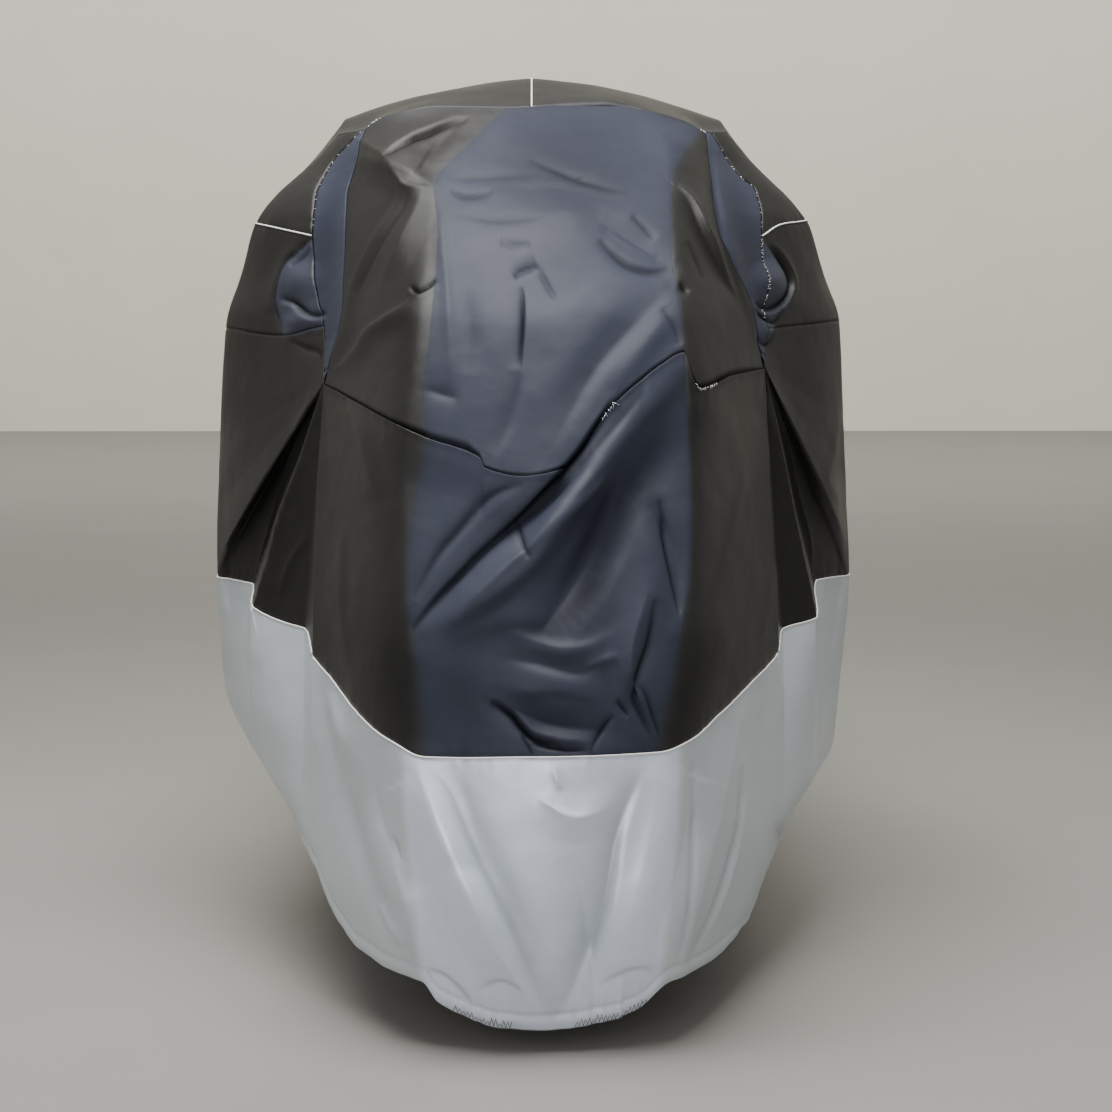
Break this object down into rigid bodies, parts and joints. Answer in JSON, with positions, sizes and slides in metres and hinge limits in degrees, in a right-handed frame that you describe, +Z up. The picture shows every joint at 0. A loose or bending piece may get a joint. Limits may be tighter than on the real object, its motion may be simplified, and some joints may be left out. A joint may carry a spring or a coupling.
{
  "type": "motorcycle cover",
  "caption": "Fitted motorcycle cover as it hangs in use: dark front, side and back panels, silver skirt, white piping and a gathered elastic hem; hollow and open below.",
  "frame": {"origin": "middle of the footprint at the lowest point of the hem, about 30 mm above the ground it hangs over", "axes": "+Z up, +Y from the front of the cover to its tail, +X to the right as the front is seen from ahead"},
  "size_m": [0.9976, 2.3057, 1.2842],
  "materials": {
    "navy_cloth": "coated polyester, soft sheen",
    "black_cloth": "coated polyester, soft sheen",
    "silver_cloth": "silver-coated polyester, satin",
    "white_piping": "woven piping"
  },
  "bodies": {
    "root": {"front_upper": "navy_cloth", "front_lower": "navy_cloth", "skirt_front": "silver_cloth", "cheek_left": "black_cloth", "gusset_left": "navy_cloth", "shoulder_left": "black_cloth", "mirror_pocket_left": "black_cloth", "side_left": "black_cloth", "side_rear_left": "black_cloth", "skirt_left": "silver_cloth", "skirt_rear_left": "silver_cloth", "back_left": "black_cloth", "back_rear_left": "black_cloth", "cheek_right": "black_cloth", "gusset_right": "navy_cloth", "shoulder_right": "black_cloth", "mirror_pocket_right": "black_cloth", "side_right": "black_cloth", "side_rear_right": "black_cloth", "skirt_right": "silver_cloth", "skirt_rear_right": "silver_cloth", "back_right": "black_cloth", "back_rear_right": "black_cloth", "piping_front": "white_piping", "piping_left": "white_piping", "mirror_piping_left": "white_piping", "piping_right": "white_piping", "mirror_piping_right": "white_piping", "ridge_piping": "white_piping"}
  },
  "joints": []
}
